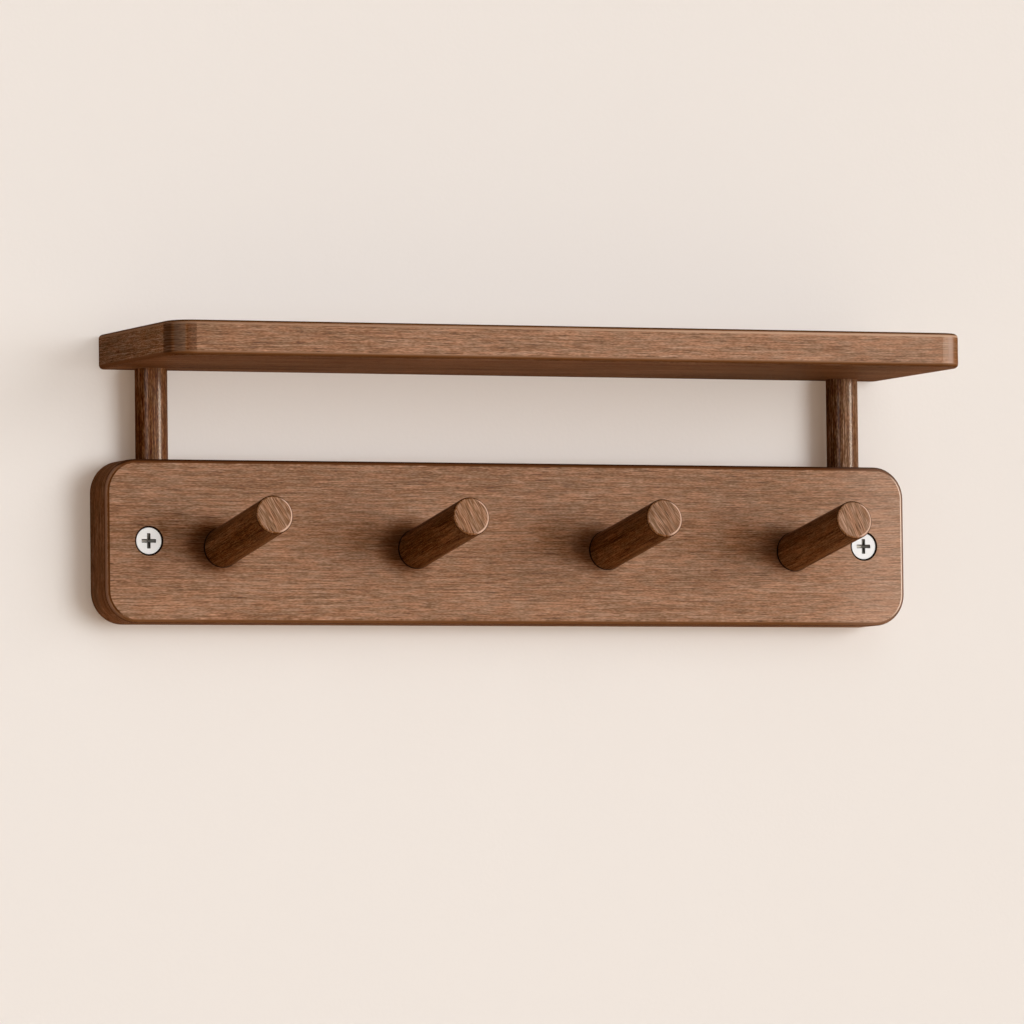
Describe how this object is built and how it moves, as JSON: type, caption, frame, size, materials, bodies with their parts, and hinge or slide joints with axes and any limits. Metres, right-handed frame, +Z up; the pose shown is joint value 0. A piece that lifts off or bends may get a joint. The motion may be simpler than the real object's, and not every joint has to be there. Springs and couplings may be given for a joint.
{
  "type": "peg rail with shelf",
  "caption": "Wall-mounted wooden peg rail with round pegs that lean up and a small shelf carried above it on two turned posts.",
  "frame": {"origin": "centre of the rail's back face, on the wall", "axes": "+X along the rail to its right end as seen from the room, +Y into the wall, +Z up"},
  "size_m": [0.4, 0.1415, 0.133],
  "materials": {
    "walnut": "oiled walnut, satin",
    "screw_steel": "bright zinc plated steel"
  },
  "bodies": {
    "root": {"rail": "walnut", "shelf": "walnut", "left_post": "walnut", "right_post": "walnut", "peg_1": "walnut", "peg_2": "walnut", "peg_3": "walnut", "peg_4": "walnut", "left_wall_screw": "screw_steel", "right_wall_screw": "screw_steel"}
  },
  "joints": []
}
